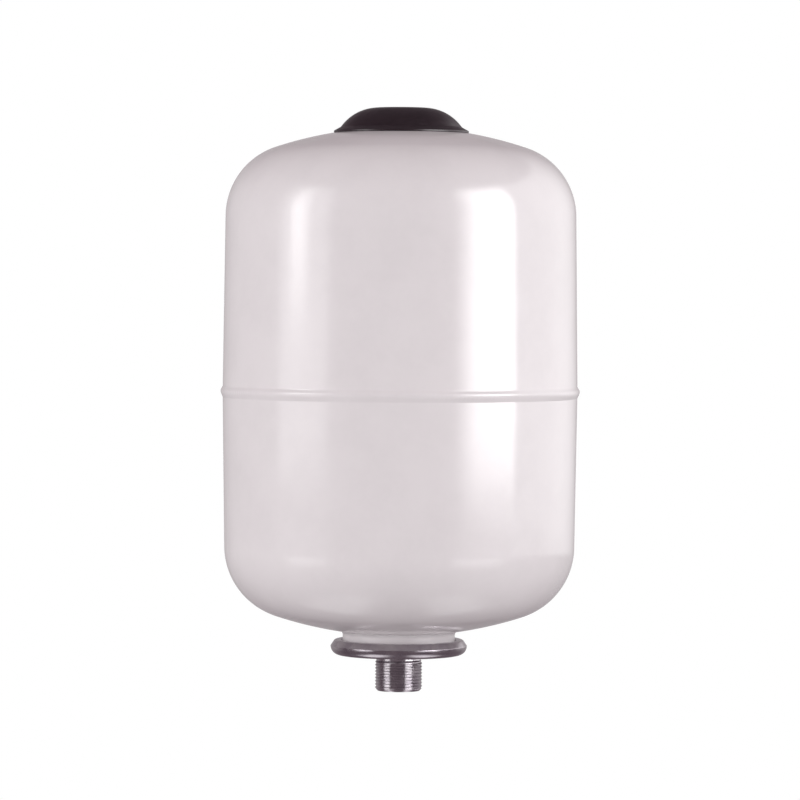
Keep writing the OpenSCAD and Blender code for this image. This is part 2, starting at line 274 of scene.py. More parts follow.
class Nodes:
    """Adds nodes to a tree. inputs maps a socket to a value, or to another node's output."""

    def __init__(self, tree):
        self.tree = tree

    def add(self, kind, inputs=None, **settings):
        node = self.tree.nodes.new(kind)
        for key, value in settings.items():
            setattr(node, key, value)
        for key, value in (inputs or {}).items():
            if isinstance(value, bpy.types.NodeSocket):
                self.tree.links.new(value, node.inputs[key])
            else:
                node.inputs[key].default_value = value
        return node

    def ramp(self, value, low, high, out_low, out_high, kind="LINEAR"):
        return self.add("ShaderNodeMapRange", {
            "Value": value, "From Min": low, "From Max": high, "To Min": out_low, "To Max": out_high,
        }, interpolation_type=kind).outputs["Result"]

    def mix(self, amount, first, second):
        return self.add("ShaderNodeMix", {0: amount, 6: first, 7: second}, data_type="RGBA").outputs[2]


class Finish(Nodes):
    """A Principled material whose varying inputs come from procedural nodes."""

    def __init__(self, name, **constants):
        self.material = bpy.data.materials.new(name)
        self.material.use_nodes = True
        super().__init__(self.material.node_tree)
        self.shader = self.tree.nodes["Principled BSDF"]
        self.normal = None
        for socket, value in constants.items():
            self.shader.inputs[socket.replace("_", " ")].default_value = value
        place = self.add("ShaderNodeTexCoord").outputs["Object"]
        split = self.add("ShaderNodeSeparateXYZ", {"Vector": place})
        flat = self.add("ShaderNodeCombineXYZ", {"X": split.outputs["X"], "Y": split.outputs["Y"]})
        radius = self.add("ShaderNodeVectorMath", {0: flat.outputs["Vector"]}, operation="LENGTH")
        around = self.add("ShaderNodeCombineXYZ", {"X": radius.outputs["Value"], "Y": split.outputs["Z"]})
        self.place = place
        self.profile = around.outputs["Vector"]      # the same all the way round: marks of turning

    def noise(self, scale, detail=2.0, vector=None, roughness=0.5):
        """Noise from 0 to 1; scale is its features in a metre."""
        return self.add("ShaderNodeTexNoise", {
            "Vector": vector or self.place, "Scale": scale, "Detail": detail, "Roughness": roughness,
        }).outputs["Fac"]

    def patches(self, value, start, full):
        """0 below start, 1 above full, and a straight rise between them."""
        return self.ramp(value, start, full, 0, 1)

    def colour(self, amount, first, second):
        self.tree.links.new(self.mix(amount, (*first, 1), (*second, 1)), self.shader.inputs["Base Color"])

    def roughness(self, value, low, high):
        self.tree.links.new(self.ramp(value, *NOISE_SPAN, low, high), self.shader.inputs["Roughness"])

    def bump(self, height, distance):
        """Raises the surface by up to distance metres where height is 1."""
        inputs = {"Height": height, "Distance": distance, "Strength": 1.0}
        if self.normal:
            inputs["Normal"] = self.normal
        self.normal = self.add("ShaderNodeBump", inputs).outputs["Normal"]
        self.tree.links.new(self.normal, self.shader.inputs["Normal"])


def make_enamel():
    """Gloss stove enamel: faint orange peel, the slight waves of drawn sheet, and a breath of dust."""
    f = Finish("gloss_enamel", IOR=1.52)
    dust = f.patches(f.noise(34, detail=6, roughness=0.65), 0.42, 0.72)
    f.colour(dust, (0.835, 0.80, 0.812), (0.80, 0.766, 0.778))
    f.roughness(f.noise(60, detail=5), 0.10, 0.16)
    f.bump(f.noise(9, detail=1), 1e-4)
    f.bump(f.noise(430, detail=1.5), 9e-6)
    return f.material


def make_zinc(name, tone, grain, low, high):
    """Bright zinc plate over turned or pressed steel, with circular tool marks and clouded passivation."""
    f = Finish(name, Metallic=1.0)
    cloud = f.noise(70, detail=5, roughness=0.7)
    shade = [c * 0.72 for c in tone]
    f.colour(f.patches(cloud, 0.38, 0.66), tone, (shade[0], shade[1] * 0.97, shade[2] * 1.02))
    f.roughness(f.noise(180, detail=4), low, high)
    f.bump(f.noise(grain, detail=3, vector=f.profile), 7e-6)
    f.bump(f.noise(1500, detail=2), 3e-6)
    return f.material


def make_plastic(name, tone, low, high, grain):
    """Moulded black plastic with a fine spark-eroded grain and faint handling marks."""
    f = Finish(name, IOR=1.48)
    rubbed = tuple(c * 1.4 + 0.003 for c in tone)
    f.colour(f.patches(f.noise(55, detail=6, roughness=0.7), 0.40, 0.72), tone, rubbed)
    f.roughness(f.noise(240, detail=4), low, high)
    f.bump(f.noise(grain, detail=2), 1.2e-5)
    return f.material


def make_brass():
    """Turned brass: fine tool marks and a light brown tarnish in patches."""
    f = Finish("turned_brass", Metallic=1.0)
    f.colour(f.patches(f.noise(260, detail=5), 0.45, 0.75), (0.80, 0.60, 0.29), (0.55, 0.38, 0.17))
    f.roughness(f.noise(500, detail=3), 0.20, 0.36)
    f.bump(f.noise(6500, detail=2, vector=f.profile), 4e-6)
    return f.material


def make_rubber():
    """Moulded rubber, matt, with a bloom of talc."""
    f = Finish("moulded_rubber", IOR=1.5)
    bloom = f.patches(f.noise(45, detail=7, roughness=0.7), 0.45, 0.78)
    f.colour(bloom, (0.018, 0.018, 0.019), (0.075, 0.073, 0.070))
    f.roughness(f.noise(300, detail=4), 0.62, 0.85)
    f.bump(f.noise(2200, detail=3), 1.5e-5)
    return f.material


def make_steel():
    """Bright drawn wire with lengthways marks and a trace of oil."""
    f = Finish("drawn_steel", Metallic=1.0)
    f.colour(f.patches(f.noise(900, detail=4), 0.4, 0.7), (0.62, 0.62, 0.63), (0.44, 0.43, 0.43))
    f.roughness(f.noise(2500, detail=3), 0.16, 0.32)
    f.bump(f.noise(9000, detail=2), 1e-6)
    return f.material


def make_ptfe():
    """White fluoropolymer, waxy and slightly mottled."""
    f = Finish("white_ptfe", IOR=1.38)
    f.colour(f.noise(1500, detail=4), (0.86, 0.86, 0.84), (0.76, 0.76, 0.73))
    f.roughness(f.noise(2000, detail=3), 0.38, 0.52)
    f.bump(f.noise(5000, detail=2), 2e-6)
    return f.material


enamel = make_enamel()
zinc_pressed = make_zinc("zinc_pressed", (0.56, 0.53, 0.555), 5200, 0.16, 0.26)
zinc_turned = make_zinc("zinc_turned", (0.60, 0.575, 0.595), 9000, 0.14, 0.22)
zinc_weld = make_zinc("zinc_weld", (0.26, 0.245, 0.26), 3000, 0.42, 0.56)
cover_plastic = make_plastic("cover_plastic", (0.013, 0.006, 0.0095), 0.30, 0.42, 2600)
cap_plastic = make_plastic("cap_plastic", (0.016, 0.016, 0.017), 0.34, 0.50, 3200)
brass = make_brass()
rubber = make_rubber()
steel = make_steel()
ptfe = make_ptfe()


# ---------------------------------------------------------------- half shells and girth weld

def crown_height(wall_h, radius, inset=0.0):
    """Distance of the crown beyond the girth at a radius."""
    return wall_h - crown_drop + math.sqrt((CROWN_R - inset) ** 2 - radius ** 2)


def drawn_face(wall_h, inset, end_r):
    """One face of a half shell as (radius, distance from the girth): band, wall, knuckle and crown."""
    wall_foot = (girth_r - inset, GIRTH_BAND)
    wall_head = (knuckle_x + KNUCKLE_R - inset, wall_h)
    last = math.degrees(math.acos(end_r / (CROWN_R - inset)))
    return (
        line(wall_foot, wall_head, 22)
        + arc((knuckle_x, wall_h), KNUCKLE_R - inset, 0, 90 - crown_angle, 36)
        + arc((0, wall_h - crown_drop), CROWN_R - inset, 90 - crown_angle, last, 16)[1:]
    )


def well_face(inset):
    """The two rounds of the valve's well."""
    mouth = (WELL_R + WELL_ROUND, crown_height(UPPER_WALL_H, WELL_R + WELL_ROUND) - WELL_ROUND)
    floor = (WELL_R - WELL_ROUND, well_z - girth_z + WELL_ROUND)
    return arc(mouth, WELL_ROUND - inset, 90, 180, 10) + arc(floor, WELL_ROUND + inset, 0, -90, 10)


def upper_outline():
    end_r = WELL_R + WELL_ROUND
    joggle_r = girth_r - SHEET_T - JOGGLE_CLEARANCE
    floor = well_z - girth_z
    points = (
        [(joggle_r - SHEET_T, -JOGGLE_H), (joggle_r, -JOGGLE_H)]
        + [(joggle_r, WELD_GAP / 2), (girth_r, WELD_GAP / 2)]
        + drawn_face(UPPER_WALL_H, 0, end_r)
        + well_face(0)
        + [(SOCKET_HOLE_R + SLIP, floor), (SOCKET_HOLE_R + SLIP, floor - SHEET_T)]
        + well_face(SHEET_T)[::-1]
        + drawn_face(UPPER_WALL_H, SHEET_T, end_r)[::-1]
        + [(joggle_r - SHEET_T, GIRTH_BAND)]
    )
    return [(r, girth_z + h) for r, h in points]


def lower_outline():
    end_r = NECK_R + NECK_FILLET
    fillet = (end_r, crown_height(LOWER_WALL_H, end_r) + NECK_FILLET)
    lip_h = girth_z - lip_top
    bend = (NECK_R + LIP_ROUND, lip_h - LIP_ROUND)
    points = (
        [(girth_r - SHEET_T, WELD_GAP / 2), (girth_r, WELD_GAP / 2)]
        + drawn_face(LOWER_WALL_H, 0, end_r)
        + arc(fillet, NECK_FILLET, -90, -180, 12)
        + arc(bend, LIP_ROUND, 180, 90, 6)
        + [(LIP_R, lip_h), (LIP_R, lip_h + SHEET_T)]
        + arc(bend, LIP_ROUND + SHEET_T, 90, 180, 6)
        + arc(fillet, NECK_FILLET + SHEET_T, -180, -90, 12)
        + drawn_face(LOWER_WALL_H, SHEET_T, end_r)[::-1]
    )
    return [(r, girth_z - h) for r, h in points][::-1]


BEAD_PROUD = bead_r - girth_r
BEAD_TOE_R = girth_r - 0.02   # its toes start just under the shells' faces
BEAD_SAG = 0.9                # how far the paint has run down below it
BEAD_STEPS = 12               # on each side of its crest
FULLNESS_BELOW, FULLNESS_ABOVE = 0.66, 1.0
RIPPLES = 250
RIPPLE_SEGMENTS = 6           # faces in each ripple of a weld
RIPPLE_DEPTH = 0.02
RIPPLE_BOW = 9                # how strongly each ripple bows round the weld pool
SWELL = ((0.05, 5, 1.0), (0.04, 11, 2.3))                       # (depth, waves in a turn, start)
WANDER = ((0.09, 3, 0.6), (0.05, 8, 2.0), (0.03, 19, 0.0))


def waves(terms, angle):
    return sum(depth * math.sin(count * angle + start) for depth, count, start in terms)


def bead_outline():
    """The bead's section: a low hump that runs out into the shells, gently above and more steeply below,
    where the paint has sagged."""
    inner = girth_r - SHEET_T
    upper_edge, lower_edge = girth_z + WELD_GAP / 2, girth_z - WELD_GAP / 2
    half = (bead_high - bead_low) / 2
    hump = []
    for i in range(2 * BEAD_STEPS + 1):
        share = i / BEAD_STEPS - 1
        reach, fullness = (half, FULLNESS_ABOVE) if share > 0 else (half + BEAD_SAG, FULLNESS_BELOW)
        rise = (0.5 + 0.5 * math.cos(math.pi * share)) ** fullness
        hump.append((BEAD_TOE_R + (bead_r - BEAD_TOE_R) * rise, girth_z + share * reach))
    root = [(inner, upper_edge), (inner, lower_edge), (BEAD_TOE_R, lower_edge)]
    return root + hump + [(BEAD_TOE_R, upper_edge)]


def bead_warp(r, z, angle):
    """Ripples of the weld pool under the paint, and a slight wander of the bead."""
    proud = max(r - girth_r, 0) / BEAD_PROUD
    off_crest = (z - girth_z) / (bead_high - bead_low)
    ripple = RIPPLE_DEPTH * (math.cos(RIPPLES * angle + RIPPLE_BOW * off_crest ** 2) - 1)
    swell = waves(SWELL, angle) - sum(depth for depth, _, _ in SWELL)
    return r + proud * (ripple + swell), z + min(proud * 6, 1) * waves(WANDER, angle)


lathe("shell_upper", upper_outline(), enamel, "root", "upper_shell", FINE)
lathe("shell_lower", lower_outline(), enamel, "root", "lower_shell", FINE)
lathe("weld_girth", bead_outline(), enamel, "root", "girth_weld",
      RIPPLES * RIPPLE_SEGMENTS, bead_warp)


# ---------------------------------------------------------------- flange and water connection

UNDERCUT_R = thread_r - 0.6
SPIGOT_R = thread_r - 0.2
WATERWAY_R = 10.0
THREAD_CHAMFER, THREAD_TOP, UNDERCUT_TOP = 1.4, 17.4, 18.4
THREAD_PITCH = 25.4 / 14
THREAD_ROOT_R = 12.72         # shallower than the standard's 12.06
THREAD_FLAT = 0.30
RUN_OUT = 1.2
WELD_LEG = 1.8
FILLET_RIPPLE = 0.05
STUB_RIPPLES, SOCKET_RIPPLES = 48, 40


def flange_outline():
    foot = (flange_r - RIM_FOOT_ROUND, flange_low + RIM_FOOT_ROUND)
    shoulder = (flange_r - RIM_SHOULDER_ROUND, flange_low + RIM_BAND_TOP)
    shoulder_arc = arc(shoulder, RIM_SHOULDER_ROUND, 0, RIM_SLOPE, 8)
    crest_z = flange_high - RIM_CREST_ROUND
    tilt = math.radians(RIM_SLOPE)
    slope_h = crest_z + RIM_CREST_ROUND * math.sin(tilt) - shoulder_arc[-1][1]
    crest_r = shoulder_arc[-1][0] - slope_h * math.tan(tilt) - RIM_CREST_ROUND * math.cos(tilt)
    edge_r = NECK_R + CURL_CLEARANCE
    groove_r = LIP_R + LIP_CLEARANCE
    edge = (edge_r + CURL_EDGE_ROUND, flange_high - CURL_EDGE_ROUND)
    return (
        [(SPIGOT_R + SLIP, plate_top), (SPIGOT_R + SLIP, flange_low)]
        + line((SPIGOT_R + 2, flange_low), (foot[0] - SUPPORT, flange_low), 8)
        + [(foot[0] - SUPPORT, flange_low)]
        + arc(foot, RIM_FOOT_ROUND, -90, 0, 14)
        + shoulder_arc
        + arc((crest_r, crest_z), RIM_CREST_ROUND, RIM_SLOPE, 90, 12)
        + arc(edge, CURL_EDGE_ROUND, 90, 180, 6)
        + [(edge_r, lip_top + SLIP), (groove_r, lip_top + SLIP), (groove_r, plate_top)]
    )


def pipe_thread(z, phase):
    """Radius of the G 3/4 thread: a truncated V, chamfered at the end and running out under the plate."""
    radius = THREAD_ROOT_R + (thread_r - THREAD_ROOT_R) * vee(phase, THREAD_FLAT)
    radius = min(radius, thread_r - THREAD_CHAMFER + max(z, 0))
    out = min(max((z - THREAD_TOP + RUN_OUT) / RUN_OUT, 0), 1)
    return radius + (UNDERCUT_R - radius) * out


connection_outline = (
    [(UNDERCUT_R, THREAD_TOP), (UNDERCUT_R, UNDERCUT_TOP), (SPIGOT_R, UNDERCUT_TOP), (SPIGOT_R, plate_top)]
    + [(WATERWAY_R, plate_top), (WATERWAY_R, stub_low + 0.5), (WATERWAY_R + 0.5, stub_low)]
    + [(thread_r - THREAD_CHAMFER, stub_low)]
)


def fillet_outline(corner, leg, up, steps=8):
    """A weld fillet in a corner; up is +1 above a plate and -1 below it."""
    r, z = corner
    hollow = arc((r + leg, z + up * leg), leg, 180, 180 + up * 90, steps)
    outline = [corner] + hollow
    return outline if up < 0 else outline[::-1]


def fillet_warp(count):
    """Ripples round a fillet weld."""
    def warp(r, z, angle):
        return r + FILLET_RIPPLE * (math.cos(count * angle) - 1), z
    return warp


lathe("flange_crimped", flange_outline(), zinc_pressed, "root", "connection_flange", FINE)
threaded("connection_threaded", connection_outline, (THREAD_PITCH, 14, pipe_thread), zinc_turned,
         "root", "water_connection", 160)
lathe("weld_connection", fillet_outline((SPIGOT_R, flange_low), WELD_LEG, -1), zinc_weld,
      "root", "connection_weld", STUB_RIPPLES * RIPPLE_SEGMENTS, fillet_warp(STUB_RIPPLES))


# ---------------------------------------------------------------- bladder

BLADDER_T, BLADDER_SHOULDER, BLADDER_FLARE_Z = 2.0, 34.0, 42.0
BLADDER_NECK_R = NECK_R - SHEET_T - 1.2
FLARE_START_Z = BLADDER_FLARE_Z - 4


def bladder_face(inset):
    """One face of the bag, from its flare over the neck up to the axis."""
    x = bladder_r - BLADDER_SHOULDER
    radius = BLADDER_SHOULDER - inset
    low = (x, BLADDER_FLARE_Z + BLADDER_SHOULDER)
    high = (x, bladder_top - BLADDER_SHOULDER)
    return (
        arc(low, radius, -90, 0, 24)
        + line((x + radius, low[1] + 4), (x + radius, high[1] - 4), 8)
        + arc(high, radius, 0, 90, 24)
        + line((x - 6, bladder_top - inset), (0, bladder_top - inset), 4)
        + [(0, bladder_top - inset)]
    )


bladder_outline = (
    rounded([
        (BLADDER_NECK_R - BLADDER_T, plate_top, 0.4), (LIP_R, plate_top, 0.5),
        (LIP_R, lip_top - SHEET_T, 0.5), (BLADDER_NECK_R, lip_top - SHEET_T, 0.6),
        (BLADDER_NECK_R, FLARE_START_Z, 0),
    ])
    + bladder_face(0)
    + bladder_face(BLADDER_T)[::-1]
    + [(BLADDER_NECK_R - BLADDER_T, FLARE_START_Z + BLADDER_T)]
)
lathe("bladder_bag", bladder_outline, rubber, "root", "bladder", MEDIUM)


# ---------------------------------------------------------------- air valve

STEM_SHANK_R = 5.0
HEX_H, HEX_APOTHEM = 3.0, 7.0
HEX_ROWS, HEX_CHAMFER, HEX_CHAMFER_SLOPE = 16, 0.35, 1.7
CAP_THREAD_R, CAP_THREAD_ROOT_R, CAP_THREAD_PITCH = 3.875, 3.42, 0.794
CAP_THREAD_FLAT, STEM_CHAMFER = 0.12, 0.5
CAP_THREAD_START, CAP_THREAD_RUN_OUT = 0.2, 0.5          # start is above the hexagon
CORE_THREAD_R, CORE_BORE_R, CHAMBER_R = 2.62, 2.15, 2.9
CHAMBER_DEPTH = 16.0
CONE_DEPTH, CONE_H = 6.4, 1.0
FLUTES, FLUTE_R = 18, 0.5
FLUTE_DEPTH_LIMIT = 0.7       # flute_warp() leaves everything deeper alone
FLUTE_HALF_WIDTH = FLUTE_R * 0.866      # where a flute's arc meets the cap's face
CAP_BORE_R = CAP_THREAD_R + 0.125
PIN_R = 0.45
PIN_COLLAR_R, PIN_COLLAR_H, CUP_H = 1.0, 0.6, 1.0
PLUG_BORE_R, PLUG_FLATS_H, PLUG_FLATS_R = PIN_R + 0.3, 1.8, 1.7
FLATS_STEP = 0.02             # height of the step where the flats begin
BARREL_SEAT_R, BARREL_SEAT_CHAMFER, SPRING_CHAMBER_R = 0.7, 0.1, 1.15
hex_top = hex_z + HEX_H

socket_outline = rounded([
    (STEM_SHANK_R + SLIP, socket_bottom, 0), (SOCKET_HOLE_R, socket_bottom, 0.3), (SOCKET_HOLE_R, well_z, 0),
    (socket_r, well_z, 0), (socket_r, socket_top - 0.5, 0.1), (socket_r - 0.5, socket_top, 0.1),
    (STEM_SHANK_R + SLIP, socket_top, 0),
])
lathe("socket_welded", socket_outline, zinc_turned, "root", "valve_socket", COARSE)
lathe("weld_socket", fillet_outline((socket_r, well_z), WELD_LEG, 1), enamel,
      "root", "valve_socket_weld", SOCKET_RIPPLES * RIPPLE_SEGMENTS, fillet_warp(SOCKET_RIPPLES))
lathe("seal_stem", rounded([
    (STEM_SHANK_R + SLIP, socket_top, 0.2), (STEM_SHANK_R + 3, socket_top, 0.3),
    (STEM_SHANK_R + 3, hex_z, 0.3), (STEM_SHANK_R + SLIP, hex_z, 0.2),
]), rubber, "root", "valve_stem_seal", COARSE)


def hexagon_radius(angle):
    sixth = math.pi / 3
    return HEX_APOTHEM / math.cos((angle + sixth / 2) % sixth - sixth / 2)


def stem_warp(r, z, angle):
    """Makes the stem's widest rings a hexagon with chamfered corners."""
    if r < STEM_SHANK_R + 0.5 or not hex_z - 0.01 < z < hex_top + 0.01:
        return r, z
    depth = min(z - hex_z, hex_top - z)
    return min(hexagon_radius(angle), HEX_APOTHEM - HEX_CHAMFER + depth * HEX_CHAMFER_SLOPE), z


def valve_thread(z, phase):
    """Radius of the 8V1 thread: chamfered at the top and running out above the hexagon."""
    radius = CAP_THREAD_ROOT_R + (CAP_THREAD_R - CAP_THREAD_ROOT_R) * vee(phase, CAP_THREAD_FLAT)
    radius = min(radius, CAP_THREAD_R - STEM_CHAMFER + max(stem_top - z, 0))
    run_out_top = hex_top + CAP_THREAD_START + CAP_THREAD_RUN_OUT
    return radius + (CAP_THREAD_ROOT_R - radius) * min(max((run_out_top - z) / CAP_THREAD_RUN_OUT, 0), 1)


# Wider than the hexagon's corners, so that stem_warp() sets every point of these rings
hexagon = [(HEX_APOTHEM * 1.1, hex_z + HEX_H * i / HEX_ROWS) for i in range(HEX_ROWS + 1)]
stem_outline = (
    [(CAP_THREAD_R - STEM_CHAMFER, stem_top), (CORE_THREAD_R, stem_top)]
    + [(CORE_THREAD_R, stem_top - CONE_DEPTH)]
    + [(CORE_BORE_R, stem_top - CONE_DEPTH - CONE_H), (CORE_BORE_R, stem_top - CHAMBER_DEPTH)]
    + [(CHAMBER_R, stem_top - CHAMBER_DEPTH), (CHAMBER_R, stem_bottom)]
    + [(STEM_SHANK_R - 0.3, stem_bottom), (STEM_SHANK_R, stem_bottom + 0.3), (STEM_SHANK_R, hex_z)]
    + hexagon
    + [(CAP_THREAD_ROOT_R + 0.3, hex_top), (CAP_THREAD_ROOT_R, hex_top + CAP_THREAD_START)]
)
threaded("stem_valve", stem_outline, (CAP_THREAD_PITCH, 10, valve_thread), brass,
         "root", "valve_stem", 144, stem_warp)


def plug_warp(r, z, angle):
    """Two flats on the plug's head, for the core key."""
    if z < plug_top - PLUG_FLATS_H + FLATS_STEP / 2:
        return r, z
    return min(r, PLUG_FLATS_R / max(abs(math.cos(angle)), 1e-6)), z


lathe("core_plug", [
    (PLUG_BORE_R, plug_top), (PLUG_BORE_R, plug_z), (plug_r - 0.3, plug_z), (plug_r, plug_z + 0.3),
    (plug_r, plug_top - PLUG_FLATS_H), (plug_r, plug_top - PLUG_FLATS_H + FLATS_STEP),
    (plug_r, plug_top - 0.2), (plug_r - 0.2, plug_top),
], brass, "root", "valve_core_plug", COARSE, plug_warp)
lathe("core_seal", [
    (barrel_r + SLIP, core_seal_z), (CORE_BORE_R, core_seal_z),
    (core_seal_r, core_seal_top), (barrel_r + SLIP, core_seal_top),
], ptfe, "root", "valve_core_seal", COARSE)
lathe("core_barrel", [
    (BARREL_SEAT_R, spring_z), (BARREL_SEAT_R, barrel_z + BARREL_SEAT_CHAMFER),
    (BARREL_SEAT_R + BARREL_SEAT_CHAMFER, barrel_z), (barrel_r - 0.15, barrel_z),
    (barrel_r, barrel_z + 0.15), (barrel_r, barrel_top),
    (SPRING_CHAMBER_R, barrel_top), (SPRING_CHAMBER_R, spring_z),
], brass, "root", "valve_core_barrel", COARSE)
lathe("core_pin", [
    (0, pin_z), (cup_r - 0.15, pin_z), (cup_r, pin_z + 0.15), (cup_r, pin_z + CUP_H), (PIN_R, pin_z + CUP_H),
    (PIN_R, spring_top), (PIN_COLLAR_R, spring_top),
    (PIN_COLLAR_R, spring_top + PIN_COLLAR_H), (PIN_R, spring_top + PIN_COLLAR_H),
    (PIN_R, pin_top - 0.15), (PIN_R - 0.15, pin_top), (0, pin_top),
], steel, "valve_core_pin", "valve_pin", COARSE)
lathe("core_cup_seal", rounded([
    (PIN_R + SLIP, cup_seal_z, 0.1), (cup_seal_r, cup_seal_z, 0.12),
    (cup_seal_r, cup_seal_top, 0.12), (PIN_R + SLIP, cup_seal_top, 0.1),
], 3), rubber, "valve_core_pin", "valve_cup_seal", COARSE)


def make_spring(name, turns=9, per_turn=30, sides=10, wire=0.1, closed=0.9):
    """Round wire; the given share of a turn is closed at each end."""
    centre_r = spring_r - wire
    low, high = spring_z + wire, spring_top - wire
    verts, faces = [], []
    count = turns * per_turn
    for i in range(count + 1):
        turn = i / per_turn
        free = min(max(turn - closed, 0), turns - 2 * closed) / (turns - 2 * closed)
        ends = min(turn, closed) + max(turn - turns + closed, 0)
        height = low + ends * 2 * wire + free * (high - low - 4 * closed * wire)
        angle = 2 * math.pi * turn
        for k in range(sides):
            b = 2 * math.pi * k / sides
            r = centre_r + wire * math.cos(b)
            z = height + wire * math.sin(b)
            verts.append((r * MM * math.cos(angle), r * MM * math.sin(angle), z * MM))
    for i in range(count):
        for k in range(sides):
            n = (k + 1) % sides
            faces.append([i * sides + k, (i + 1) * sides + k, (i + 1) * sides + n, i * sides + n])
    faces.append(list(range(sides))[::-1])
    faces.append([count * sides + k for k in range(sides)])
    return finish_piece(name, cleaned_mesh(name, verts, faces), steel, "root", "valve_spring")


spring = make_spring("core_spring")
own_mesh(spring)


def flute_warp(r, z, angle):
    """Grip flutes down the outside of the dust cap."""
    if r < cap_r - FLUTE_DEPTH_LIMIT:
        return r, z
    step = 2 * math.pi / FLUTES
    side = cap_r * math.sin((angle + step / 2) % step - step / 2)
    if abs(side) > FLUTE_HALF_WIDTH:
        return r, z
    return min(r, cap_r + FLUTE_R / 2 - math.sqrt(FLUTE_R ** 2 - side ** 2)), z


lathe("cap_fluted", rounded([
    (CAP_BORE_R, cap_z, 0.2), (cap_r, cap_z, 0.2), (cap_r, cap_top, 0.7), (0, cap_top, 0),
    (0, cap_seal_top, 0), (CAP_BORE_R, cap_seal_top, 0),
]), cap_plastic, "dust_cap_screw", "dust_cap", FLUTES * 14, flute_warp)
lathe("cap_seal", rounded([
    (0, cap_seal_z, 0), (cap_seal_r, cap_seal_z, 0.2), (cap_seal_r, cap_seal_top, 0.2), (0, cap_seal_top, 0),
]), rubber, "dust_cap_lift", "dust_cap_seal", COARSE)


# ---------------------------------------------------------------- cover over the valve

COVER_FLAT_R, COVER_ROUND_R, COVER_T = 13.2, 25.5, 2.2
COVER_SWEEP = 52.0
COVER_GAP = 0.08              # between its edge and the crown
FOOT_LENGTH, FOOT_ROUND, COVER_EDGE_T = 1.45, 2.6, 1.1
COLLAR_IN_R, COLLAR_T = socket_r + 0.15, 1.75
COLLAR_ROOT = 0.5             # how far the collar runs up into the cover before they are joined
FINGERS, FINGER_SLOT = 6, 2.5
SLOT_REACH = 20               # past the collar's outside
finger_top = well_z + 19
ceiling = cover_top - COVER_T


def cover_outline():
    """The cover without its collar: a flat top, a round side, and a thin foot that follows the crown."""
    centre = (COVER_FLAT_R, cover_top - COVER_ROUND_R)
    edge = girth_z + COVER_GAP + crown_height(UPPER_WALL_H, cover_r)
    side = math.radians(90 - COVER_SWEEP)
    foot = (centre[0] + COVER_ROUND_R * math.cos(side) + FOOT_LENGTH * math.sin(side),
            centre[1] + COVER_ROUND_R * math.sin(side) - FOOT_LENGTH * math.cos(side))
    outer = arc(centre, COVER_ROUND_R, 90, 90 - COVER_SWEEP, 30)
    inner = arc(centre, COVER_ROUND_R - COVER_T, 90 - COVER_SWEEP, 90, 24)
    inner_r = inner[0][0]
    under = girth_z + COVER_GAP + crown_height(UPPER_WALL_H, inner_r)
    rim = rounded([
        (*outer[-1], 0), (*foot, FOOT_ROUND), (cover_r, edge + COVER_EDGE_T, 0.35), (cover_r, edge, 0.25),
        (inner_r, under, 0.2), (*inner[1], 0),
    ], 6)
    top = [(0, ceiling), (0, cover_top)] + line((2, cover_top), (COVER_FLAT_R, cover_top), 4)
    return (top + outer[:-1] + rim + inner[2:])[::-1]


def prism(angle, low, high, reach, width):
    """A bar across the axis at an angle, for cutting two opposite slots."""
    turn = Matrix.Rotation(angle, 3, "Z")
    section = [(-reach, -width / 2), (reach, -width / 2), (reach, width / 2), (-reach, width / 2)]
    corners = [(x, y, z) for z in (low, high) for x, y in section]
    verts = [tuple(turn @ Vector(c) * MM) for c in corners]
    faces = [[3, 2, 1, 0], [4, 5, 6, 7]] + [[i, (i + 1) % 4, (i + 1) % 4 + 4, i + 4] for i in range(4)]
    return temporary("slot", verts, faces)


collar_outline = rounded([
    (COLLAR_IN_R, collar_z, 0.6), (COLLAR_IN_R + COLLAR_T, collar_z, 0.4),
    (COLLAR_IN_R + COLLAR_T, ceiling + COLLAR_ROOT, 0), (COLLAR_IN_R, ceiling + COLLAR_ROOT, 0),
])
collar = temporary("collar", *turned(collar_outline, MEDIUM))
for i in range(FINGERS // 2):
    slot = prism(2 * math.pi * i / FINGERS, collar_z - 1, finger_top, SLOT_REACH, FINGER_SLOT)
    combine(collar, slot, "DIFFERENCE")
cover_work = temporary("cover_work", *turned(cover_outline(), FINE))
combine(cover_work, collar, "UNION")
cover_mesh = cover_work.data
bpy.data.objects.remove(cover_work)
finish_piece("cover_moulded", cover_mesh, cover_plastic, "cover", "valve_cover")


# ---------------------------------------------------------------- camera

CAMERA_DISTANCE = 2.59
CAMERA_RISE = 0.0676
SENSOR_WIDTH, LENS = 36.0, 206.6
PITCH, ROLL = 1.61, 0.304     # degrees

camera_data = bpy.data.cameras.new("camera")
camera_data.sensor_width = SENSOR_WIDTH
camera_data.lens = LENS
camera = bpy.data.objects.new("camera", camera_data)
bpy.context.scene.collection.objects.link(camera)
aim = Matrix.Rotation(math.radians(90 - PITCH), 4, "X") @ Matrix.Rotation(math.radians(ROLL), 4, "Z")
camera.matrix_world = Matrix.Translation((0, -CAMERA_DISTANCE, girth_z * MM + CAMERA_RISE)) @ aim
bpy.context.scene.camera = camera
bpy.context.scene.view_settings.view_transform = "Standard"


# ---------------------------------------------------------------- studio

